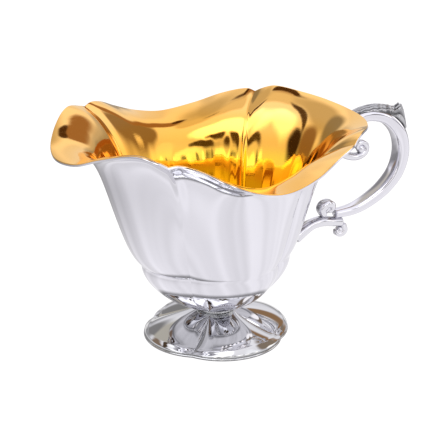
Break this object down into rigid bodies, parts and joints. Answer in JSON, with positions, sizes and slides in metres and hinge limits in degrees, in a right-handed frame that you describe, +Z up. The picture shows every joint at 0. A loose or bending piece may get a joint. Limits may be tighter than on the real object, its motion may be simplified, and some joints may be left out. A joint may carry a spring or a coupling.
{
  "type": "gravy boat",
  "caption": "Silver gravy boat: lobed bowl with a gilt inside and wide pouring lip, on a lobed pedestal foot, with a leaf-topped scroll handle.",
  "frame": {"origin": "middle of the boat's length and width, on the plane that the foot stands on", "axes": "+X towards the handle, -X towards the pouring lip, +Z up; the XZ plane is the boat's plane of symmetry"},
  "size_m": [0.1938, 0.1466, 0.1148],
  "materials": {
    "silver": "bright polished silver plate, faintly lavender where it reflects its surroundings, with fine hand-polish marks",
    "gilt": "bright polished gold wash, pale yellow on the flares and amber in the deep lobes",
    "oxidised_silver": "cast silver with darkened veins and polished high points"
  },
  "bodies": {
    "root": {"bowl_shell": "silver", "gilt_lining": "gilt", "foot_collar": "silver", "pedestal_foot": "silver", "foot_rim_wire": "silver", "handle_loop": "silver", "handle_leaf": "oxidised_silver", "upper_scroll": "silver", "lower_scroll": "silver", "lower_bracket": "silver", "bracket_pendant": "silver"}
  },
  "joints": []
}
